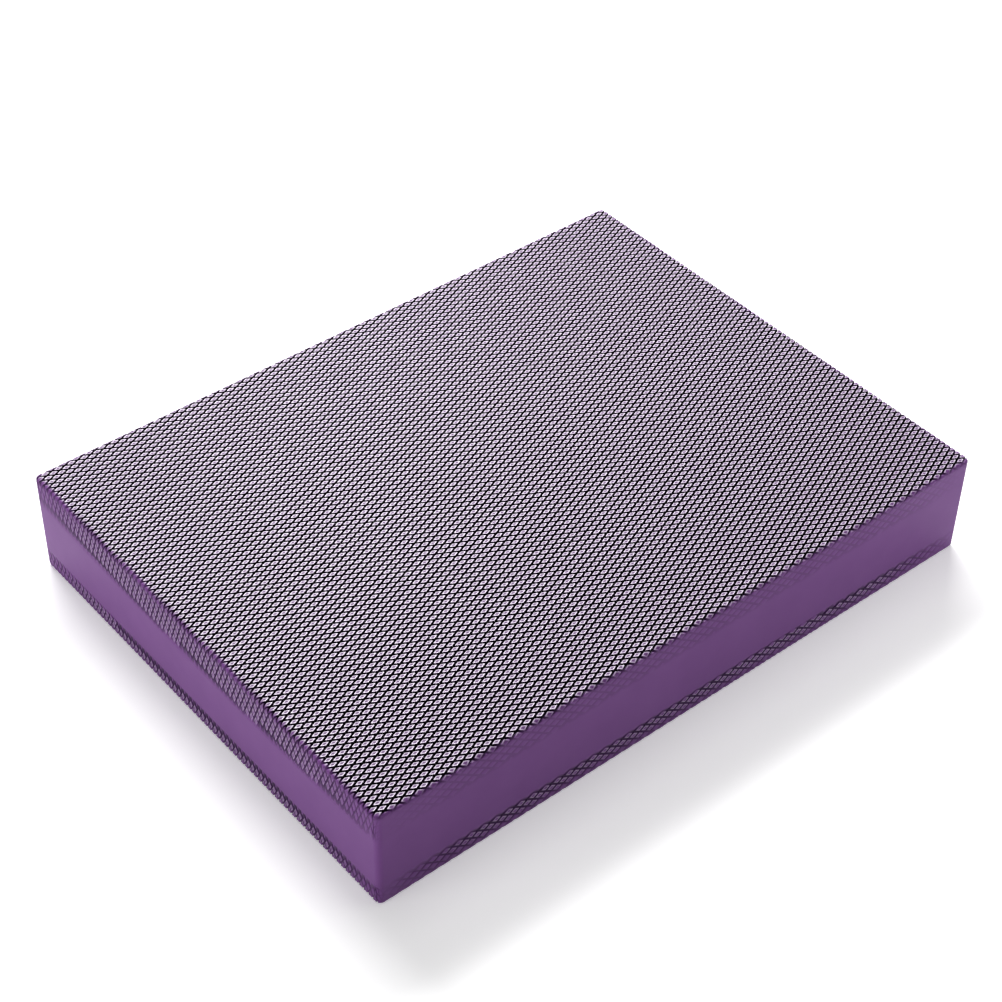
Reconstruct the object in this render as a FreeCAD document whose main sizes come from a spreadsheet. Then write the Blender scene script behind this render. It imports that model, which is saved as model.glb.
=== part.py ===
"""Balance pad: a block of soft foam, used for standing exercises.

The pad is laminated. Five plain slabs make the core. An embossed skin lies over the core and
another lies under it, and each skin is drawn a little way down the sides as a lip. A smooth
band goes round the sides, between the two lips.

Frame: millimetres, +Z up. The origin is the middle of the underside, +X runs along the long
side and +Y along the short side.
"""

import FreeCAD, Part
import math
import os

import Sketcher

V = FreeCAD.Vector

CORE_SLABS = 5  # sheets of foam, one on another, because one sheet isn't made this thick

# The driving dimensions: (alias, millimetres, what it is).
SIZES = (
    ("pad_length", 400.0, "long side of the pad"),
    ("pad_width", 300.0, "short side of the pad"),
    ("pad_height", 63.5, "whole thickness of the pad"),
    ("corner_radius", 3.5, "upright corners, seen from above"),
    ("shoulder_radius", 2.0, "rounding where a skin turns down the side"),
    ("skin_thickness", 6.0, "each embossed skin, over and under the core"),
    ("wall_thickness", 2.5, "the lips and the side band"),
    ("bond_gap", 0.1, "glue line between the core and the wall"),
    ("top_lip", 18.0, "top skin's lip at the corners, from the outer face"),
    ("top_lip_drop", 4.5, "how much longer it is in the middle of a short side"),
    ("top_lip_rise", 2.5, "how much shorter it is in the middle of a long side"),
    ("base_lip", 14.0, "bottom skin's lip at the corners, from the outer face"),
    ("base_lip_drop", 1.0, "how much longer it is in the middle of a long side"),
    ("base_lip_rise", 0.6, "how much shorter it is in the middle of a short side"),
)

# Each skin: its node, the prefix of its lip's sizes, and the planes that its lip's longer and
# shorter sides are drawn on, each with the pad's size that runs along that plane.
LONG_SIDE = ("XZ_Plane", "pad_length", "pad_width")
SHORT_SIDE = ("YZ_Plane", "pad_width", "pad_length")
SKINS = (
    ("top_skin", "top_lip", SHORT_SIDE, LONG_SIDE),
    ("bottom_skin", "base_lip", LONG_SIDE, SHORT_SIDE),
)


def make_sheet(doc):
    """The spreadsheet that holds the driving dimensions, one to a row."""
    sheet = doc.addObject("Spreadsheet::Sheet", "Sizes")
    for row, (alias, value, meaning) in enumerate(SIZES, start=1):
        sheet.set(f"A{row}", alias)
        sheet.set(f"B{row}", str(value))
        sheet.set(f"C{row}", meaning)
        sheet.setAlias(f"B{row}", alias)
    doc.recompute()
    return sheet


def cell(alias):
    """A cell of the sheet, as an expression names it."""
    return f"<<Sizes>>.{alias}"


def make_body(doc, name):
    body = doc.addObject("PartDesign::Body", name)
    body.Label = name
    return body


def sketch_on(body, name, plane):
    """A new sketch on one of the body's own origin planes."""
    sketch = body.newObject("Sketcher::SketchObject", name)
    own_plane = next(o for o in body.Origin.OriginFeatures if o.Role == plane)
    sketch.AttachmentSupport = [(own_plane, "")]
    sketch.MapMode = "FlatFace"
    return sketch


def bind(sketch, constraint, name, expression):
    """Add a dimension to the sketch, name it and tie it to the sheet."""
    index = sketch.addConstraint(constraint)
    sketch.renameConstraint(index, name)
    sketch.setExpression(f"Constraints.{name}", expression)


def draw_rounded_rectangle(sketch, start, inset):
    """A rectangle with round corners, centred on the sketch's origin.

    start is the rough (length, width, corner radius) that the solver begins from, and inset is
    an expression for how far the outline lies inside the pad's own.
    """
    length, width, radius = start
    x, y = length / 2, width / 2
    prefix = f"Loop{sketch.GeometryCount}"
    corners = []
    for quarter, (sx, sy) in enumerate(((1, 1), (-1, 1), (-1, -1), (1, -1))):
        centre = V(sx * (x - radius), sy * (y - radius), 0)
        circle = Part.Circle(centre, V(0, 0, 1), radius)
        first = quarter * math.pi / 2
        corners.append(sketch.addGeometry(Part.ArcOfCircle(circle, first, first + math.pi / 2)))
    sides = []
    for quarter, corner in enumerate(corners):
        following = corners[(quarter + 1) % 4]
        start_point = sketch.getPoint(corner, 2)
        end_point = sketch.getPoint(following, 1)
        side = sketch.addGeometry(Part.LineSegment(start_point, end_point))
        sketch.addConstraint(Sketcher.Constraint("Tangent", corner, 2, side, 1))
        sketch.addConstraint(Sketcher.Constraint("Tangent", side, 2, following, 1))
        sides.append(side)
    back, left, front, right = sides
    sketch.addConstraint(Sketcher.Constraint("Horizontal", back))
    sketch.addConstraint(Sketcher.Constraint("Horizontal", front))
    sketch.addConstraint(Sketcher.Constraint("Vertical", left))
    sketch.addConstraint(Sketcher.Constraint("Vertical", right))
    for corner in corners[1:]:
        sketch.addConstraint(Sketcher.Constraint("Equal", corners[0], corner))
    sketch.addConstraint(Sketcher.Constraint("Symmetric", corners[0], 3, corners[2], 3, -1, 1))
    across = Sketcher.Constraint("DistanceX", left, 1, right, 1, length)
    bind(sketch, across, f"{prefix}Length", f"{cell('pad_length')} - 2 * ({inset})")
    along = Sketcher.Constraint("DistanceY", front, 1, back, 1, width)
    bind(sketch, along, f"{prefix}Width", f"{cell('pad_width')} - 2 * ({inset})")
    rounding = Sketcher.Constraint("Radius", corners[0], radius)
    bind(sketch, rounding, f"{prefix}Radius", f"{cell('corner_radius')} - ({inset})")


def outline(sheet, inset):
    """The rough (length, width, corner radius) of an outline that far inside the pad's own."""
    return (
        sheet.pad_length - 2 * inset,
        sheet.pad_width - 2 * inset,
        sheet.corner_radius - inset,
    )


def draw_segment(sketch, sheet, span, lip, sag, bulge):
    """The sliver between a straight lip edge and the arc that it really follows.

    The chord lies at the lip's depth, from corner to corner. bulge is 1 where the arc goes
    past the chord, which makes the lip longer, and -1 where it goes short of it.
    """
    half = getattr(sheet, span) / 2 - sheet.corner_radius
    depth = getattr(sheet, lip)
    rise = getattr(sheet, sag)
    radius = (half**2 + rise**2) / (2 * rise)
    ends = [V(-half, depth, 0), V(half, depth, 0)]
    chord = sketch.addGeometry(Part.LineSegment(*ends))
    crown = V(0, depth + bulge * rise, 0)
    arc = sketch.addGeometry(Part.Arc(ends[0], crown, ends[1]))
    starts = (1, 2) if (sketch.getPoint(arc, 1) - ends[0]).Length < half else (2, 1)
    sketch.addConstraint(Sketcher.Constraint("Coincident", chord, 1, arc, starts[0]))
    sketch.addConstraint(Sketcher.Constraint("Coincident", chord, 2, arc, starts[1]))
    sketch.addConstraint(Sketcher.Constraint("Symmetric", chord, 1, chord, 2, -2))
    across = Sketcher.Constraint("DistanceX", chord, 1, chord, 2, 2 * half)
    bind(sketch, across, "Chord", f"{cell(span)} - 2 * {cell('corner_radius')}")
    below = Sketcher.Constraint("DistanceY", -1, 1, chord, 1, depth)
    bind(sketch, below, "Depth", cell(lip))
    half_chord = f"({cell(span)} / 2 - {cell('corner_radius')})"
    rounding = Sketcher.Constraint("Radius", arc, radius)
    bind(sketch, rounding, "Radius", f"({half_chord}^2 + {cell(sag)}^2) / (2 * {cell(sag)})")


def extrude(body, kind, name, sketch, expression, midplane=False, reverse=False):
    """Pad or pocket a sketch by a length that is tied to the sheet."""
    before = body.Shape.Volume if body.Tip else 0
    feature = body.newObject(kind, name)
    feature.Profile = sketch
    feature.SideType = "Symmetric" if midplane else "One side"
    feature.Reversed = reverse
    feature.setExpression("Length", expression)
    body.Document.recompute()
    if (body.Shape.Volume > before) != (kind == "PartDesign::Pad"):
        raise RuntimeError(f"{name} adds or cuts nothing")
    return feature


def outer_edges(shape):
    """The names of the edges round the face at z = 0."""
    return [
        f"Edge{number}"
        for number, edge in enumerate(shape.Edges, start=1)
        if abs(edge.BoundBox.ZMax) < 1e-6
    ]


def make_skin(doc, sheet, name, lip, longer, shorter):
    """One embossed skin as a tray, its outer face at z = 0 and its lip standing up.

    The lip is one height at the corners. In the middle of two opposite sides it is longer, and
    in the middle of the other two it is shorter, as a drawn sheet is.
    """
    body = make_body(doc, name)
    block = sketch_on(body, f"{name}_outline", "XY_Plane")
    draw_rounded_rectangle(block, outline(sheet, 0), "0")
    pad = extrude(body, "PartDesign::Pad", f"{name}_block", block, cell(lip))
    shoulder = body.newObject("PartDesign::Fillet", f"{name}_shoulder")
    shoulder.Base = (pad, outer_edges(pad.Shape))
    shoulder.setExpression("Radius", cell("shoulder_radius"))

    plane, span, through = longer
    apron = sketch_on(body, f"{name}_apron", plane)
    draw_segment(apron, sheet, span, lip, f"{lip}_drop", 1)
    extrude(body, "PartDesign::Pad", f"{name}_aprons", apron, cell(through), midplane=True)

    plane, span, through = shorter
    relief = sketch_on(body, f"{name}_relief", plane)
    draw_segment(relief, sheet, span, lip, f"{lip}_rise", -1)
    extrude(body, "PartDesign::Pocket", f"{name}_reliefs", relief, cell(through), midplane=True)

    hollow = sketch_on(body, f"{name}_hollow", "XY_Plane")
    hollow.setExpression("AttachmentOffset.Base.z", cell("skin_thickness"))
    draw_rounded_rectangle(hollow, outline(sheet, sheet.wall_thickness), cell("wall_thickness"))
    extrude(body, "PartDesign::Pocket", f"{name}_room", hollow, cell("pad_height"), reverse=True)
    return body


def make_side_band(doc, sheet, skins):
    """The smooth wall round the core, and what the two lips leave of it."""
    ring = make_body(doc, "side_ring")
    walls = sketch_on(ring, "side_ring_walls", "XY_Plane")
    walls.setExpression("AttachmentOffset.Base.z", cell("skin_thickness"))
    draw_rounded_rectangle(walls, outline(sheet, 0), "0")
    draw_rounded_rectangle(walls, outline(sheet, sheet.wall_thickness), cell("wall_thickness"))
    height = f"{cell('pad_height')} - 2 * {cell('skin_thickness')}"
    extrude(ring, "PartDesign::Pad", "side_ring_wall", walls, height)
    band = ring
    for skin in skins:
        cut = doc.addObject("Part::Cut", f"band_under_{skin.Name}")
        cut.Base = band
        cut.Tool = skin
        band = cut
    band.Label = "side_band"
    return band


def make_core_slab(doc, sheet, number):
    """One plain slab of the core, counted from the underside."""
    name = f"core_slab_{number}"
    body = make_body(doc, name)
    face = sketch_on(body, f"{name}_face", "XY_Plane")
    start = outline(sheet, sheet.wall_thickness + sheet.bond_gap)
    inset = f"{cell('wall_thickness')} + {cell('bond_gap')}"
    draw_rounded_rectangle(face, start, inset)
    slab_height = f"({cell('pad_height')} - 2 * {cell('skin_thickness')}) / {CORE_SLABS}"
    extrude(body, "PartDesign::Pad", f"{name}_pad", face, slab_height)
    place = f"{cell('skin_thickness')} + {number - 1} * {slab_height}"
    body.setExpression("Placement.Base.z", place)
    return body


def check(doc, pieces):
    """Stop if any object failed, or if any piece isn't one sound solid."""
    for item in doc.Objects:
        if "Invalid" in item.State or "Error" in item.State:
            raise RuntimeError(f"{item.Name} failed: {item.State}")
    for piece in pieces:
        shape = piece.Shape
        if shape.isNull() or not shape.isValid() or len(shape.Solids) != 1:
            raise RuntimeError(f"{piece.Label} isn't one sound solid")


def main():
    doc = FreeCAD.newDocument("balance_pad")
    sheet = make_sheet(doc)
    skins = [make_skin(doc, sheet, *words) for words in SKINS]
    top_skin = skins[0]
    top_skin.Placement.Rotation = FreeCAD.Rotation(V(1, 0, 0), 180)
    top_skin.setExpression("Placement.Base.z", cell("pad_height"))
    doc.recompute()
    pieces = skins + [make_side_band(doc, sheet, skins)]
    pieces += [make_core_slab(doc, sheet, number + 1) for number in range(CORE_SLABS)]
    doc.recompute()
    check(doc, pieces)
    os.makedirs("parts", exist_ok=True)
    for piece in pieces:
        piece.Shape.exportStep(f"parts/{piece.Label}.step")
        box = piece.Shape.BoundBox
        litres = piece.Shape.Volume / 1e6
        print(f"{piece.Label}: z {box.ZMin:.2f} to {box.ZMax:.2f} mm, {litres:.4f} litres")


main()
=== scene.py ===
# %% [markdown]
# # A foam balance pad
#
# The pad is a block of soft elastomer foam to stand on with one foot. Sheets of plain foam are
# bonded into a core. A sheet embossed with small diamonds lies on the core and another lies
# under it, and each is drawn a little way down the sides. A smooth band of the same foam closes
# the sides between the two drawn edges.
#
# The CAD model gives every size and place. This lesson makes the looks: the relief of the
# diamonds as real geometry, the soft rounding of the edges, and the materials.

# %% Load the frame
import math

import bmesh
import bpy
from mathutils import Matrix, Vector


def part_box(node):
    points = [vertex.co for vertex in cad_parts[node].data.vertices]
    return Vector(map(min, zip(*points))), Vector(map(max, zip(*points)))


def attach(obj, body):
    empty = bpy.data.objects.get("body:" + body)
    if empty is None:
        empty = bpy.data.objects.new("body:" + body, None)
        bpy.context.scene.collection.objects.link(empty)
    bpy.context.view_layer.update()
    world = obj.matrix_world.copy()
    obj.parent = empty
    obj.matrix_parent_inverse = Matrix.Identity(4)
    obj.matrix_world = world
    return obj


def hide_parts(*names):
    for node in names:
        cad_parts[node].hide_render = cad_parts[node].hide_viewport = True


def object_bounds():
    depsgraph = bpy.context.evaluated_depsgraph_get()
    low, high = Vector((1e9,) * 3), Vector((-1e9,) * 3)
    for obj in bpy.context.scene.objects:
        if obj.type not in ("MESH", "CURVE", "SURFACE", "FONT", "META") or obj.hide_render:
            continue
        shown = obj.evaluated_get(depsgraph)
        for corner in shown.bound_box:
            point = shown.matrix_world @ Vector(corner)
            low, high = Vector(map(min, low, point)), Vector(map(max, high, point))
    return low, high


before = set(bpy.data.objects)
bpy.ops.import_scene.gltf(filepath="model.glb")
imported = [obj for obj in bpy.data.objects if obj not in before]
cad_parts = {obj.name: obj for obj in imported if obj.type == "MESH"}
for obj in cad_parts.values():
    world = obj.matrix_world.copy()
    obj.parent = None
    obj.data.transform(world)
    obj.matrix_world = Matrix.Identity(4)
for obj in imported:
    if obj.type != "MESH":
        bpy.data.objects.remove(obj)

cad_low, cad_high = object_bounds()
print("CAD box:", [round(n, 4) for n in (*cad_low, *cad_high)])

# %% [markdown]
# ## The sizes
#
# Everything here is in metres, so a size in millimetres is written as a number times MM. What
# the CAD boxes hold is read from them. Only the roundings and the lips' corner depths, which a
# box can't tell, are written again.

# %% Sizes of the pad
MM = 0.001
HALF_LENGTH = cad_high.x
HALF_WIDTH = cad_high.y
HEIGHT = cad_high.z
CORNER = 3.5 * MM  # upright corners, seen from above
SHOULDER = 2 * MM  # rounding where a skin turns down the side
WALL = 2.5 * MM  # the lips and the side band
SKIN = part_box("core_slab_1")[0].z  # each skin's thickness

band_low, band_high = (corner.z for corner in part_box("side_band"))
top_lip_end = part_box("top_skin")[0].z
base_lip_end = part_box("bottom_skin")[1].z

# How far each lip reaches from its outer face: at the corners, in the middle of a long side
# and in the middle of a short side.
TOP_LIP = {"corner": 18 * MM, "long": HEIGHT - band_high, "short": HEIGHT - top_lip_end}
BASE_LIP = {"corner": 14 * MM, "long": base_lip_end, "short": band_low}

for name, lip in (("top", TOP_LIP), ("bottom", BASE_LIP)):
    print(name, "lip in mm:", {place: round(depth / MM, 1) for place, depth in lip.items()})

# %% [markdown]
# ## The camera
#
# The view looks down on one corner, from far enough away that the block hardly tapers. A camera
# is a place and a turn. The turn is built from three directions at right angles: back towards
# the viewer, right and up, and then a small roll about the line of sight.

# %% Camera
VIEW_AZIMUTH = math.radians(-40.22)
VIEW_ELEVATION = math.radians(42.05)
VIEW_ROLL = math.radians(1.17)
VIEW_DISTANCE = 1.2089
VIEW_OFFSET = (2.37 * MM, -5.5 * MM)  # where the middle of the pad sits in the view
SENSOR_WIDTH = 36  # millimetres
FOCAL_LENGTH = 80.15  # millimetres


def make_camera():
    """The camera at the viewing angle, aimed a little off the middle of the pad."""
    back = Vector((
        math.sin(VIEW_AZIMUTH) * math.cos(VIEW_ELEVATION),
        -math.cos(VIEW_AZIMUTH) * math.cos(VIEW_ELEVATION),
        math.sin(VIEW_ELEVATION),
    ))
    level = Vector((0, 0, 1)).cross(back).normalized()
    upright = back.cross(level)
    right = level * math.cos(VIEW_ROLL) + upright * math.sin(VIEW_ROLL)
    up = upright * math.cos(VIEW_ROLL) - level * math.sin(VIEW_ROLL)
    middle = (cad_low + cad_high) / 2
    place = middle + back * VIEW_DISTANCE - right * VIEW_OFFSET[0] - up * VIEW_OFFSET[1]
    camera = bpy.data.objects.new("camera", bpy.data.cameras.new("camera"))
    camera.data.lens = FOCAL_LENGTH
    camera.data.sensor_width = SENSOR_WIDTH
    turn = Matrix((right, up, back)).transposed()
    camera.matrix_world = Matrix.Translation(place) @ turn.to_4x4()
    bpy.context.scene.collection.objects.link(camera)
    bpy.context.scene.camera = camera
    return place


camera_place = make_camera()
print("camera at", [round(n, 3) for n in camera_place])

# %% [markdown]
# ## Materials
#
# One function turns an sRGB hex colour into the linear numbers that the shaders use, and one
# adds a node with its settings and links. Every pattern reads Object coordinates. The pieces
# all sit at the origin, so a pattern runs on from one piece to the next, as it does where
# foam is bonded to foam of the same batch.

# %% Helpers for materials


def colour(code):
    """A linear (r, g, b, 1) from an sRGB hex code."""
    shares = [int(code[i : i + 2], 16) / 255 for i in (0, 2, 4)]
    linear = [s / 12.92 if s <= 0.04045 else ((s + 0.055) / 1.055) ** 2.4 for s in shares]
    return (*linear, 1.0)


def add(tree, kind, settings=None, **inputs):
    """Add a node. Settings are its own properties, and inputs are numbers or sockets."""
    node = tree.nodes.new(kind)
    for name, value in (settings or {}).items():
        setattr(node, name, value)
    for name, value in inputs.items():
        socket = node.inputs[int(name[1:])] if name[1:].isdigit() else node.inputs[name]
        if isinstance(value, bpy.types.NodeSocket):
            tree.links.new(value, socket)
        else:
            socket.default_value = value
    return node


def new_material(name):
    """A material with its output and no shader yet, and its tree."""
    material = bpy.data.materials.new(name)
    material.use_nodes = True
    material.node_tree.nodes.clear()
    return material, material.node_tree


def finish_material(tree, shader):
    output = add(tree, "ShaderNodeOutputMaterial")
    tree.links.new(shader.outputs[0], output.inputs["Surface"])


def set_ramp(node, stops):
    """Give a colour ramp its stops, as (place, hex colour)."""
    ramp = node.color_ramp
    while len(ramp.elements) < len(stops):
        ramp.elements.new(0.5)
    for element, (place, code) in zip(ramp.elements, stops):
        element.position = place
        element.color = colour(code)


PURPLE = "6E4180"
PALE_PURPLE = "774A89"  # the mottling
# The colour of the painted highlight on the rims
RIM_HIGHLIGHT = "EDE0F3"
print("purple foam is", [round(n, 3) for n in colour(PURPLE)[:3]])

# %% [markdown]
# ### Moulded elastomer foam
#
# Thermoplastic elastomer foam is pressed against a hot plate, which melts a thin closed skin on
# it. Where the plate pressed lightly, that skin is a satin, slightly mottled purple with very
# fine pinholes where bubbles broke. Where it pressed hard, on the rims of the diamonds, the skin
# is glazed and shines, and a painted highlight makes the rims paler. The grooves are darkened
# with painted shade: dark purple where the relief is faint, and nearly black where it was pressed
# hard, where the dished middles get some painted shade too.
#
# Two attributes on the embossed sheets say which place is which. "relief" is the place within
# the diamond: 0 at the bottom of a groove, 1 on the rim and less again in the dished middle.
# "pressed" is how much of the pattern is left there after the sheet was stretched, 0 to 1.

# %% Foam finishes
BUBBLE = 0.45 * MM  # bubbles in the skin of the foam
MOTTLE = 18 * MM  # slow changes of colour across a sheet
SATIN = {"Roughness": 0.5, "Specular IOR Level": 0.12}
GLAZED = {"Roughness": 0.3, "Specular IOR Level": 1.0}
HARD_PAINTED_SHADE = ((0.0, "040305"), (0.7, "0E0A12"), (0.9, "FFFFFF"))  # painted shade in the grooves and the dished middles, where pressed hard
FAINT_PAINTED_SHADE = ((0.0, "2A0C3C"), (0.62, "341448"), (0.76, "FFFFFF"))  # painted shade in the grooves, where pressed lightly
GLAZE_SHARES = ((0.75, "000000"), (0.85, "808080"), (1.0, "FFFFFF"))  # how glazed, as a grey
RIM_HIGHLIGHT_SHARES = ((0.82, "000000"), (1.0, "F4F4F4"))  # how strong the painted highlight on the rims is, as a grey
HARD_FROM = 0.7  # pressed less than this, the foam isn't glazed and its grooves keep only the purple painted shade
RIM_HIGHLIGHT_FROM = 0.5  # pressed less than this, the rims get no painted highlight


def mix_colours(tree, factor, first, second, blend="MIX"):
    """A colour mix. The factor and both colours are numbers, colours or sockets."""
    node = add(tree, "ShaderNodeMix", {"data_type": "RGBA", "blend_type": blend})
    for index, value in ((0, factor), (6, first), (7, second)):
        if isinstance(value, bpy.types.NodeSocket):
            tree.links.new(value, node.inputs[index])
        else:
            node.inputs[index].default_value = value
    return node.outputs[2]


def above(tree, value, start):
    """How far a value is on its way from the start to 1, as a share."""
    node = add(tree, "ShaderNodeMapRange", Value=value, **{"From Min": start, "From Max": 1.0})
    return node.outputs["Result"]


def by_relief(tree, relief, pressed, stops):
    """A share that depends on the relief, scaled by how much of the pattern is left."""
    ramp = add(tree, "ShaderNodeValToRGB", Fac=relief)
    set_ramp(ramp, stops)
    scaled = add(tree, "ShaderNodeMath", {"operation": "MULTIPLY"}, _1=pressed)
    tree.links.new(ramp.outputs["Color"], scaled.inputs[0])
    return scaled.outputs[0]


def foam(name, skin_colour, mottle_colour, rim_highlight_colour=None):
    """Skinned foam. It is embossed if it has a colour for a painted highlight on its rims."""
    material, tree = new_material(name)
    place = add(tree, "ShaderNodeTexCoord").outputs["Object"]
    mottle = add(tree, "ShaderNodeTexNoise", Vector=place, Scale=1 / MOTTLE, Detail=3.0)
    bubbles = add(tree, "ShaderNodeTexNoise", Vector=place, Scale=1 / BUBBLE, Detail=2.0)
    bump = add(tree, "ShaderNodeBump", Strength=0.25, Distance=0.06 * MM)
    tree.links.new(bubbles.outputs["Fac"], bump.inputs["Height"])
    tint = mix_colours(tree, mottle.outputs["Fac"], colour(skin_colour), colour(mottle_colour))
    shader = add(tree, "ShaderNodeBsdfPrincipled", IOR=1.5)
    if rim_highlight_colour:
        relief = add(tree, "ShaderNodeAttribute", {"attribute_name": "relief"}).outputs["Fac"]
        pressed = add(tree, "ShaderNodeAttribute", {"attribute_name": "pressed"}).outputs["Fac"]
        hard = above(tree, pressed, HARD_FROM)
        highlight_strength = above(tree, pressed, RIM_HIGHLIGHT_FROM)
        # A painted highlight makes the rims paler where the relief is pressed hard.
        painted_rim_highlight = by_relief(tree, relief, highlight_strength, RIM_HIGHLIGHT_SHARES)
        tint = mix_colours(tree, painted_rim_highlight, tint, colour(rim_highlight_colour))
        # Painted shade darkens the grooves: dark purple where pressed lightly, nearly black where
        # hard.
        for share, stops in ((pressed, FAINT_PAINTED_SHADE), (hard, HARD_PAINTED_SHADE)):
            painted_shade = add(tree, "ShaderNodeValToRGB", Fac=relief)
            set_ramp(painted_shade, stops)
            tint = mix_colours(tree, share, tint, painted_shade.outputs["Color"], "MULTIPLY")
        glaze = by_relief(tree, relief, hard, GLAZE_SHARES)
        for socket in SATIN:
            ends = {"To Min": SATIN[socket], "To Max": GLAZED[socket]}
            level = add(tree, "ShaderNodeMapRange", Value=glaze, **ends)
            tree.links.new(level.outputs["Result"], shader.inputs[socket])
    else:
        for socket, value in SATIN.items():
            shader.inputs[socket].default_value = value
    tree.links.new(tint, shader.inputs["Base Color"])
    tree.links.new(bump.outputs["Normal"], shader.inputs["Normal"])
    finish_material(tree, shader)
    return material


smooth_foam = foam("skinned_tpe_foam", PURPLE, PALE_PURPLE)
embossed_foam = foam("embossed_tpe_foam", PURPLE, PALE_PURPLE, RIM_HIGHLIGHT)
print("foam finishes:", smooth_foam.name, embossed_foam.name)

# %% [markdown]
# ### Cut foam
#
# The core is sliced from a thicker bun, so its faces show the open cells that the blade went
# through: thin pale walls around hollows, well under a millimetre across, and no gloss. The
# hollows are painted darker, a painted shade.

# %% Cut foam finish
CELL = 0.8 * MM  # width of a cut cell


def cut_foam(name, wall_colour, shaded_hollow_colour):
    """Foam as a blade leaves it, with its cells open."""
    material, tree = new_material(name)
    place = add(tree, "ShaderNodeTexCoord").outputs["Object"]
    settings = {"feature": "DISTANCE_TO_EDGE"}
    cells = add(tree, "ShaderNodeTexVoronoi", settings, Vector=place, Scale=1 / CELL)
    walls = add(tree, "ShaderNodeValToRGB", Fac=cells.outputs["Distance"])
    # The hollows get a darker colour, a painted shade.
    set_ramp(walls, ((0.0, wall_colour), (0.35, shaded_hollow_colour)))
    bump = add(tree, "ShaderNodeBump", {"invert": True}, Strength=0.6, Distance=0.2 * MM)
    tree.links.new(cells.outputs["Distance"], bump.inputs["Height"])
    shader = add(tree, "ShaderNodeBsdfPrincipled", Roughness=0.9, IOR=1.45)
    tree.links.new(walls.outputs["Color"], shader.inputs["Base Color"])
    tree.links.new(bump.outputs["Normal"], shader.inputs["Normal"])
    finish_material(tree, shader)
    return material


# The second colour is the painted shade in the hollows.
core_foam = cut_foam("cut_tpe_foam", "9A6FAC", "6A4479")
print("core finish:", core_foam.name)

# %% [markdown]
# ## How a flat sheet becomes a skin
#
# A real skin starts flat. It is embossed while hot between rollers, laid on the core and drawn
# down over the edge, which stretches it a little. Making it the same way gives the right look
# for free: the rows of diamonds run on from the top down the sides, longer there, and crowd
# together in the corners. The other way, diamonds laid on each face by themselves, would meet
# badly at every edge.
#
# The two sheets went through the rollers at slightly different angles, and each is stretched
# by its own amounts over the long and the short sides.
#
# A flat place is turned into a place on the pad from its nearest point on the fold, the line
# where the sheet starts to turn down.

# %% From a flat place to a place on the pad
ARC = SHOULDER * math.pi / 2  # the way round the shoulder

# What each sheet is like: how askew its rows run, how much it stretches down a long and a short
# side, and how much of the relief is left at (millimetres past the fold, share) on each.
TOP_SHEET = {
    "lip": TOP_LIP,
    "askew": math.radians(-2.9),
    "stretch": {"long": 1.4, "short": 1.27},
    "relief": {
        "long": ((0, 1.0), (1.5, 0.8), (3, 0.35), (5, 0.22)),
        "short": ((0, 1.0), (1, 0.6), (2, 0.3), (3.5, 0.65), (6, 0.72)),
    },
    "corner_relief": {"long": 0.0, "short": 0.5},
}
BASE_SHEET = {
    "lip": BASE_LIP,
    "askew": math.radians(0.3),
    "stretch": {"long": 1.36, "short": 1.0},
    "relief": {
        "long": ((0, 1.0), (1, 0.2), (2.5, 0.2), (7, 0.6), (11, 0.74)),
        "short": ((0, 1.0), (1, 0.2), (2.5, 0.2), (5, 0.72)),
    },
    "corner_relief": {"long": 0.05, "short": 0.6},
}


def nearest_fold(x, y):
    """The nearest point on the fold, the direction outwards there and how far outside it is."""
    inner_x = HALF_LENGTH - CORNER
    inner_y = HALF_WIDTH - CORNER
    fold_radius = CORNER - SHOULDER
    centre = Vector((max(-inner_x, min(inner_x, x)), max(-inner_y, min(inner_y, y)), 0))
    away = Vector((x, y, 0)) - centre
    if away.length < 1e-9:
        return centre, Vector((1, 0, 0)), -fold_radius
    out = away.normalized()
    return centre + out * fold_radius, out, away.length - fold_radius


def blend_sides(values, out):
    """A value for the side that faces that direction, passing over smoothly at the corners."""
    return values["short"] * out.x**2 + values["long"] * out.y**2


def flat_reach(sheet, depth, out):
    """How much flat sheet past the fold a lip of that depth needs."""
    return (ARC + depth - SHOULDER) / blend_sides(sheet["stretch"], out)


def drawn(sheet, flat):
    """The place on the pad of a place on the flat sheet, whose z is its height in the relief."""
    fold, out, outside = nearest_fold(flat.x, flat.y)
    if outside <= 0:
        return Vector((flat.x, flat.y, HEIGHT + flat.z))
    travel = outside * blend_sides(sheet["stretch"], out)
    angle = min(travel / SHOULDER, math.pi / 2)
    straight = max(0.0, travel - ARC)
    facing = out * math.sin(angle) + Vector((0, 0, math.cos(angle)))
    centre = fold + Vector((0, 0, HEIGHT - SHOULDER))
    return centre + facing * (SHOULDER + flat.z) - Vector((0, 0, straight))


for name, sheet in (("top", TOP_SHEET), ("bottom", BASE_SHEET)):
    reach = flat_reach(sheet, sheet["lip"]["short"], Vector((1, 0, 0)))
    print(name, "sheet reaches", round(reach / MM, 1), "mm past the fold at its short sides")

# %% [markdown]
# ## The sheet's outline
#
# Seen flat, the sheet is a rectangle whose sides bow a little, because the drawn lip isn't the
# same depth all round, with a quarter circle at each corner. The outline only needs a face with
# enough points along it.

# %% Outline of a flat sheet
SIDE_STEPS = 32
CORNER_STEPS = 12
QUARTERS = (
    (Vector((1, 0, 0)), Vector((0, 1, 0)), HALF_LENGTH, HALF_WIDTH, "short"),
    (Vector((0, 1, 0)), Vector((-1, 0, 0)), HALF_WIDTH, HALF_LENGTH, "long"),
    (Vector((-1, 0, 0)), Vector((0, -1, 0)), HALF_LENGTH, HALF_WIDTH, "short"),
    (Vector((0, -1, 0)), Vector((1, 0, 0)), HALF_WIDTH, HALF_LENGTH, "long"),
)


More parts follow.
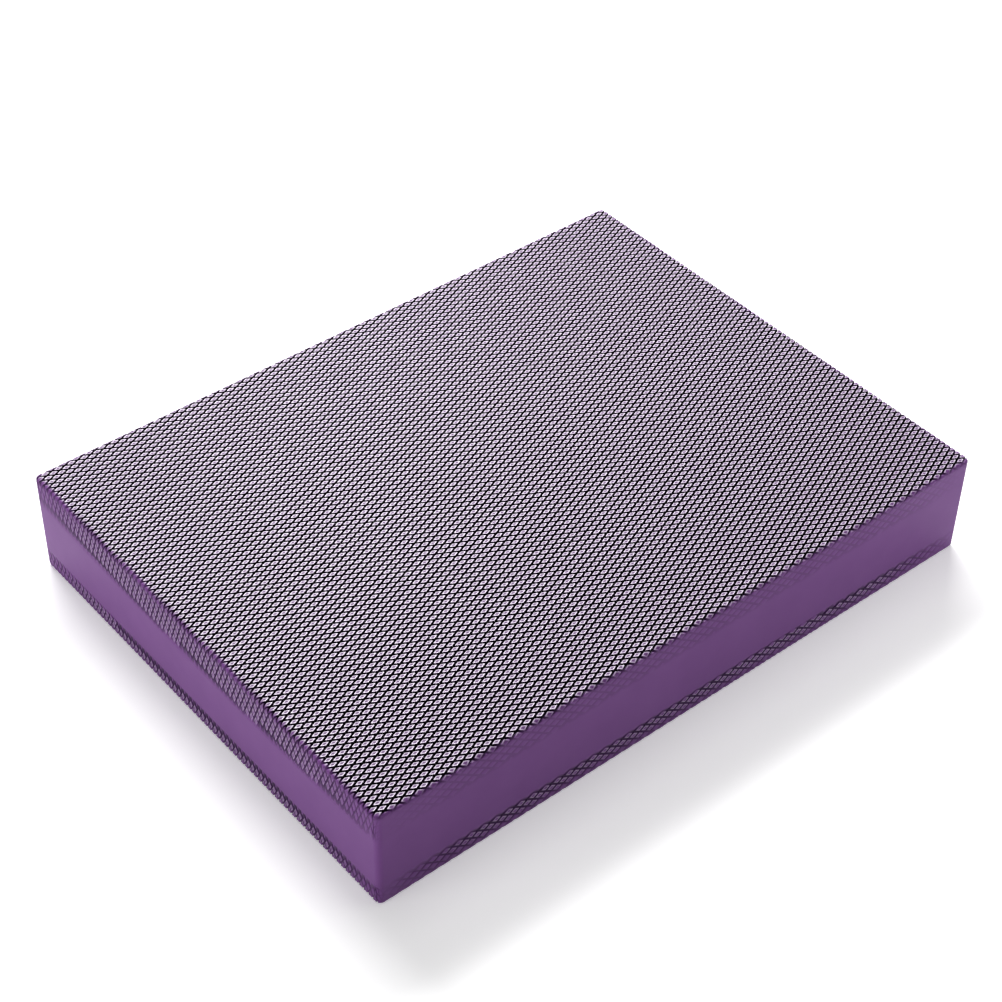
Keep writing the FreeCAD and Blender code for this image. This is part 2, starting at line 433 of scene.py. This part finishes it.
def round_the_pad():
    """Each step of the way round: (centre of rounding, outwards, bow), counter-clockwise.

    The bow is 0 at the corners and 1 in the middle of a side, and comes with that side's name.
    """
    for out, along, reach, half_run, side in QUARTERS:
        run = half_run - CORNER
        for step in range(SIDE_STEPS):
            share = 2 * step / SIDE_STEPS - 1
            yield out * (reach - CORNER) + along * run * share, out, 1 - share**2, side
        for step in range(CORNER_STEPS):
            turn = step / CORNER_STEPS * math.pi / 2
            facing = out * math.cos(turn) + along * math.sin(turn)
            yield out * (reach - CORNER) + along * run, facing, 0.0, side


def lip_depth(lip, bow, side):
    return lip["corner"] + (lip[side] - lip["corner"]) * bow


def flat_outline(sheet):
    """The sheet before it is drawn, as one flat face."""
    bm = bmesh.new()
    fold_radius = CORNER - SHOULDER
    for centre, out, bow, side in round_the_pad():
        reach = flat_reach(sheet, lip_depth(sheet["lip"], bow, side), out)
        bm.verts.new(centre + out * (fold_radius + reach))
    bm.faces.new(bm.verts)
    return bm


trial = flat_outline(TOP_SHEET)
print("outline of", len(trial.verts), "points, area", round(trial.faces[:][0].calc_area(), 4), "m2")
trial.free()

# %% [markdown]
# ## The grooves
#
# The roller cuts two families of straight grooves that cross at a narrow angle and leave long
# diamonds between them. The sheet went through slightly askew, so the rows aren't quite square
# to the pad. Cutting the face with planes, one for each groove, gives the diamonds at once.
# Points that come to lie almost on the outline are then welded to it.

# %% Cut the diamonds
DIAMOND_LENGTH = 7.75 * MM
DIAMOND_WIDTH = 3.66 * MM
HALF_ANGLE = math.atan2(DIAMOND_WIDTH, DIAMOND_LENGTH)
PITCH = DIAMOND_LENGTH * math.sin(HALF_ANGLE)
DIAMOND_AREA = DIAMOND_LENGTH * DIAMOND_WIDTH / 2
SLIVER = 0.6 * MM  # an edge shorter than this is closed up, if it touches the outline


def cut(bm, point, across):
    """Cut the whole mesh with one plane."""
    everything = bm.verts[:] + bm.edges[:] + bm.faces[:]
    bmesh.ops.bisect_plane(bm, geom=everything, dist=1e-6, plane_co=point, plane_no=across)


def close_slivers(bm):
    """Weld points that lie almost on the outline to it, so that no face there is a sliver."""
    targets = {}
    for edge in bm.edges:
        if edge.calc_length() < SLIVER:
            kept, moved = sorted(edge.verts, key=lambda vert: not vert.is_boundary)
            if kept.is_boundary and kept not in targets and moved not in targets.values():
                targets[moved] = kept
    bmesh.ops.weld_verts(bm, targetmap=targets)


def cut_diamonds(bm, askew):
    """Cut along every groove of both families."""
    steps = int((math.hypot(HALF_LENGTH, HALF_WIDTH) + HEIGHT / 2) / PITCH)
    for turn in (askew + HALF_ANGLE, askew - HALF_ANGLE):
        across = Vector((-math.sin(turn), math.cos(turn), 0))
        for step in range(-steps, steps + 1):
            cut(bm, across * step * PITCH, across)
    close_slivers(bm)


print("groove pitch", round(PITCH / MM, 2), "mm, half angle", round(math.degrees(HALF_ANGLE), 1))

# %% [markdown]
# ## The relief
#
# Each diamond is inset twice, or once where the relief is faint. The first inset leaves the old
# edge at the bottom of the groove and lifts the new one to the rim, so two neighbours share a
# V-shaped groove. The second marks the middle, which the hot roller leaves slightly dished. A
# diamond cut by the sheet's edge is only raised in its middle, and a small scrap of one stays
# plain.
#
# Stretching the sheet flattens the relief, most of all round the shoulder and near the corners,
# and the lip's edge is plain where it is bonded to the side band. So every height is scaled by
# the share of the relief that is left at that place, which is kept as the attribute "pressed".

# %% Emboss the sheet
GROOVE_WIDTH = 1.4 * MM
GROOVE_DEPTH = 1.1 * MM
RIM_WIDTH = 0.5 * MM
DISH = 0.06 * MM
RIM_LEVEL = 1.0  # the "relief" of a rim, of a dished middle and of a cut diamond's middle
DISH_LEVEL = 0.8
CUT_LEVEL = 0.85
WHOLE_SHARE = 0.999  # of a diamond's area, and a face with less is a cut diamond
SCRAP_SHARE = 0.3  # a face with less than this is a scrap
FAINT = 0.3  # with less of the relief left than this, a diamond has no dished middle
CORNER_RUN = 70 * MM  # how far from a corner the relief is weaker
EDGE_FADE = 3 * MM  # the relief fades to nothing over this width at the lip's edge


def along_stops(stops, place):
    """The share at a place, in straight lines between (place in millimetres, share) stops."""
    for (start, before), (end, after) in zip(stops, stops[1:]):
        if place < end * MM:
            share = (place / MM - start) / (end - start)
            return before + (after - before) * share
    return stops[-1][1]


def relief_left(sheet, x, y):
    """How much of the relief is left there, from 0 to 1."""
    _, out, outside = nearest_fold(x, y)
    if outside <= 0:
        return 1.0
    travel = outside * blend_sides(sheet["stretch"], out)
    shares = {side: along_stops(stops, travel) for side, stops in sheet["relief"].items()}
    from_corner = max(HALF_LENGTH - CORNER - abs(x), HALF_WIDTH - CORNER - abs(y), 0)
    weaker = (1 - min(from_corner / CORNER_RUN, 1)) ** 2 * min(travel / ARC, 1)
    at_corner = blend_sides(sheet["corner_relief"], out)
    runs = {"long": x / (HALF_LENGTH - CORNER), "short": y / (HALF_WIDTH - CORNER)}
    depths = {s: lip_depth(sheet["lip"], max(1 - run**2, 0), s) for s, run in runs.items()}
    to_edge = ARC + blend_sides(depths, out) - SHOULDER - travel
    fading = max(0.0, min(to_edge / EDGE_FADE, 1.0))
    return blend_sides(shares, out) * (1 + (at_corner - 1) * weaker) * fading


def emboss(bm, sheet):
    """Turn every diamond into a raised one. Returns how many whole ones there are."""
    relief = bm.verts.layers.float.new("relief")
    pressed = bm.verts.layers.float.new("pressed")

    def lift(verts, level, height):
        for vert in verts:
            left = relief_left(sheet, vert.co.x, vert.co.y)
            vert[relief] = level
            vert[pressed] = left
            vert.co.z = height * left

    def corners_of(faces):
        return {vert for face in faces for vert in face.verts}

    shares = [(face, face.calc_area() / DIAMOND_AREA) for face in bm.faces]
    whole = [face for face, share in shares if share > WHOLE_SHARE]
    part = [face for face, share in shares if SCRAP_SHARE < share <= WHOLE_SHARE]
    edge = [vert for vert in bm.verts if vert.is_boundary]
    lift(bm.verts, 0.0, -GROOVE_DEPTH)
    middles = [(face, face.calc_center_median()) for face in whole]
    dished = [face for face, place in middles if relief_left(sheet, place.x, place.y) > FAINT]
    lift(bmesh.ops.poke(bm, faces=part)["verts"], CUT_LEVEL, 0.0)
    for diamonds, thickness, level, height in (
        (whole, GROOVE_WIDTH / 2, RIM_LEVEL, 0.0),
        (dished, RIM_WIDTH, DISH_LEVEL, -DISH),
    ):
        bmesh.ops.inset_individual(bm, faces=diamonds, thickness=thickness, use_even_offset=True)
        lift(corners_of(diamonds), level, height)
    for vert in edge:
        vert[relief] = RIM_LEVEL
        vert[pressed] = 0.0
        vert.co.z = 0.0
    return len(whole)


print("a diamond's flat is", round((PITCH - GROOVE_WIDTH) / MM, 2), "mm across")

# %% [markdown]
# ## Folding and drawing
#
# A face can only bend at its edges, and a diamond is longer than the shoulder is round. So the
# sheet is cut once more along the fold, at even steps round the shoulder and where the corners
# begin, and the faces in the corners, where it bends both ways, are divided. After that every
# point moves to its place on the pad.

# %% Bend and draw the sheet
SHOULDER_STEPS = 3
CORNER_EDGE = 0.8 * MM  # an edge longer than this is divided in a corner
CORNER_CUTS = 2


def score_the_folds(bm, sheet):
    """Cut along the fold, round the shoulder and beside the corners, on all four sides."""
    for out, _, reach, _, side in QUARTERS:
        cut(bm, out * (reach - CORNER), out)
        for step in range(SHOULDER_STEPS + 1):
            outside = ARC / sheet["stretch"][side] * step / SHOULDER_STEPS
            cut(bm, out * (reach - SHOULDER + outside), out)


def divide_corners(bm):
    """Divide the faces whose middle lies in a corner."""
    inner_x = HALF_LENGTH - CORNER
    inner_y = HALF_WIDTH - CORNER
    edges = set()
    for face in bm.faces:
        middle = face.calc_center_median()
        if abs(middle.x) > inner_x and abs(middle.y) > inner_y:
            edges.update(edge for edge in face.edges if edge.calc_length() > CORNER_EDGE)
    bmesh.ops.subdivide_edges(bm, edges=list(edges), cuts=CORNER_CUTS, use_grid_fill=True)


def draw_down(bm, sheet):
    for vert in bm.verts:
        vert.co = drawn(sheet, vert.co)


print("round the shoulder in", SHOULDER_STEPS, "steps of", round(90 / SHOULDER_STEPS), "degrees")

# %% [markdown]
# ## Closing the skin
#
# The drawn sheet is only the outer face. The lip's edge is turned in by the wall's thickness,
# taken up to the underside of the skin and closed with one face, so that the piece is a solid
# tray. The normals are made to agree once it is closed.

# %% Close the skin and name the piece


def close_tray(bm):
    """Give the drawn sheet its thickness."""
    edge = [e for e in bm.edges if e.is_boundary]
    for e in edge:
        e.smooth = False
    for inwards, height in ((WALL, None), (0, HEIGHT - SKIN)):
        grown = bmesh.ops.extrude_edge_only(bm, edges=edge)["geom"]
        edge = [part for part in grown if isinstance(part, bmesh.types.BMEdge)]
        edge = [e for e in edge if e.is_boundary]
        for vert in {v for e in edge for v in e.verts}:
            out = nearest_fold(vert.co.x, vert.co.y)[1]
            vert.co -= out * inwards
            if height is not None:
                vert.co.z = height
    bmesh.ops.contextual_create(bm, geom=edge)
    bmesh.ops.recalc_face_normals(bm, faces=bm.faces)


SHARP = math.radians(40)  # a crease sharper than this isn't smoothed over


def to_piece(bm, name, node, material):
    """Make the finished mesh a piece that stands for a CAD node, whose own part is hidden."""
    for face in bm.faces:
        face.smooth = True
    for edge in bm.edges:
        if edge.calc_face_angle(0) > SHARP:
            edge.smooth = False
    mesh = bpy.data.meshes.new(name)
    bm.to_mesh(mesh)
    bm.free()
    mesh.materials.append(material)
    piece = bpy.data.objects.new(name, mesh)
    bpy.context.scene.collection.objects.link(piece)
    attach(piece, "root")
    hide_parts(node)
    mesh.calc_loop_triangles()
    print(name, "has", len(mesh.loop_triangles), "triangles")
    return piece


def make_skin(name, node, sheet, turned_over):
    """One embossed skin. The bottom one is made like the top one and turned over."""
    bm = flat_outline(sheet)
    cut_diamonds(bm, sheet["askew"])
    count = emboss(bm, sheet)
    score_the_folds(bm, sheet)
    divide_corners(bm)
    draw_down(bm, sheet)
    close_tray(bm)
    if turned_over:
        middle = Vector((0, 0, HEIGHT / 2))
        turn = Matrix.Rotation(math.pi, 3, "X")
        bmesh.ops.rotate(bm, cent=middle, matrix=turn, verts=bm.verts)
    print(name, "has", count, "whole diamonds")
    return to_piece(bm, name, node, embossed_foam)


top_skin = make_skin("top_embossed_skin", "top_skin", TOP_SHEET, False)
bottom_skin = make_skin("bottom_embossed_skin", "bottom_skin", BASE_SHEET, True)

# %% [markdown]
# ## The side band
#
# The smooth wall between the lips is a strip of the same foam. Its edges follow the lips' edges
# exactly, so the joint hardly shows. It is spun round the pad as four loops of points, outside
# and inside, top and bottom, bridged into a closed ring.

# %% Make the side band
BAND_ROWS = 8


def band_loop(bm, inwards, share):
    """One loop of edges round the band, at a share of its height from the bottom lip up."""
    verts = []
    for centre, out, bow, side in round_the_pad():
        low = lip_depth(BASE_LIP, bow, side)
        high = HEIGHT - lip_depth(TOP_LIP, bow, side)
        place = centre + out * (CORNER - inwards)
        verts.append(bm.verts.new((place.x, place.y, low + (high - low) * share)))
    return [bm.edges.new((a, b)) for a, b in zip(verts, verts[1:] + verts[:1])]


def make_side_band():
    """The ring between the lips."""
    bm = bmesh.new()
    loops = [band_loop(bm, 0, row / BAND_ROWS) for row in range(BAND_ROWS + 1)]
    loops += [band_loop(bm, WALL, 1), band_loop(bm, WALL, 0)]
    for one, other in zip(loops, loops[1:] + loops[:1]):
        bmesh.ops.bridge_loops(bm, edges=one + other)
    bmesh.ops.recalc_face_normals(bm, faces=bm.faces)
    return to_piece(bm, "smooth_side_band", "side_band", smooth_foam)


side_band = make_side_band()

# %% [markdown]
# ## The core
#
# The slabs inside are plain sheets with their cut edges just broken. Each is a box with its
# upright corners rounded to clear the wall and its long edges eased.

# %% Make the core slabs
EASED = 0.5 * MM
CORNER_SEGMENTS = 6
EASED_SEGMENTS = 3


def make_core_slab(number):
    """One slab of the core, counted from the underside."""
    node = f"core_slab_{number}"
    low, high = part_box(node)
    bm = bmesh.new()
    bmesh.ops.create_cube(bm, size=1)
    bmesh.ops.scale(bm, vec=high - low, verts=bm.verts)
    bmesh.ops.translate(bm, vec=(low + high) / 2, verts=bm.verts)
    upright = [e for e in bm.edges if abs(e.verts[0].co.z - e.verts[1].co.z) > EASED]
    to_round = CORNER - (HALF_LENGTH - high.x)
    bmesh.ops.bevel(
        bm, geom=upright, offset=to_round, segments=CORNER_SEGMENTS, profile=0.5,
        affect="EDGES", material=-1,
    )
    level = [e for e in bm.edges if abs(e.verts[0].co.z - e.verts[1].co.z) < EASED]
    bmesh.ops.bevel(
        bm, geom=level, offset=EASED, segments=EASED_SEGMENTS, profile=0.5,
        affect="EDGES", material=-1,
    )
    return to_piece(bm, f"core_foam_slab_{number}", node, core_foam)


core_numbers = [int(node.rsplit("_", 1)[1]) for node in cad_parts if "core" in node]
core = [make_core_slab(number) for number in sorted(core_numbers)]

# %% [markdown]
# ## Floor and light
#
# The pad stands on a plain white table that is lit a little from below. Two large soft lights
# behind it skim the top, which makes the relief show: the near faces of the grooves stay dark
# and the rims shine. A softer one hangs overhead. A low one on the left keeps the short side
# bright, and a small card in front lifts the long side, which is otherwise in half shade. The
# world adds hardly any light.

# %% Floor
FLOOR_REACH = 4  # metres from its middle to its edges
FLOOR_GLOW = 0.4  # the light that comes through the table from below

floor_mesh = bpy.data.meshes.new("floor")
floor_bm = bmesh.new()
bmesh.ops.create_grid(floor_bm, x_segments=1, y_segments=1, size=FLOOR_REACH)
floor_bm.to_mesh(floor_mesh)
floor_bm.free()
floor = bpy.data.objects.new("floor", floor_mesh)
bpy.context.scene.collection.objects.link(floor)
floor_paint, floor_tree = new_material("matt_white_floor")
floor_shader = add(floor_tree, "ShaderNodeBsdfPrincipled", Roughness=0.9)
floor_shader.inputs["Base Color"].default_value = colour("F4F4F4")
floor_shader.inputs["Emission Color"].default_value = colour("FFFFFF")
floor_shader.inputs["Emission Strength"].default_value = FLOOR_GLOW
finish_material(floor_tree, floor_shader)
floor_mesh.materials.append(floor_paint)
print("floor in place")

# %% Lights
LIGHTS = (
    # name, place and aim in metres, width and height in metres, power in watts
    ("back_right_softbox", (0.79, 0.79, 1.0), (0, 0, 0.05), 0.8, 0.55, 15.5),
    ("back_softbox", (0.26, 0.97, 1.11), (0, 0, 0.05), 0.8, 0.55, 24.0),
    ("overhead_softbox", (0, 0, 1.5), (0, 0, 0.05), 1.0, 1.0, 6.5),
    ("left_softbox", (-1.18, 0.1, 0.21), (-0.2, 0, 0.03), 0.5, 0.3, 3.8),
    ("front_card", (0.4, -0.55, 0.15), (0.15, -0.15, 0.03), 0.3, 0.2, 0.6),
)
WORLD_STRENGTH = 0.02


def make_light(name, place, aim, width, height, power):
    """A rectangular softbox at a place, facing a point. The camera doesn't see it."""
    away = (Vector(place) - Vector(aim)).normalized()
    lamp = bpy.data.objects.new(name, bpy.data.lights.new(name, "AREA"))
    lamp.data.shape = "RECTANGLE"
    lamp.data.size = width
    lamp.data.size_y = height
    lamp.data.energy = power
    lamp.visible_camera = False
    lamp.matrix_world = Matrix.Translation(place) @ away.to_track_quat("Z", "Y").to_matrix().to_4x4()
    bpy.context.scene.collection.objects.link(lamp)
    return lamp


lights = [make_light(*words) for words in LIGHTS]
world = bpy.data.worlds.new("studio")
world.use_nodes = True
world.node_tree.nodes["Background"].inputs["Color"].default_value = colour("FFFFFF")
world.node_tree.nodes["Background"].inputs["Strength"].default_value = WORLD_STRENGTH
bpy.context.scene.world = world
bpy.context.scene.view_settings.view_transform = "Standard"
print("lights:", [lamp.name for lamp in lights])
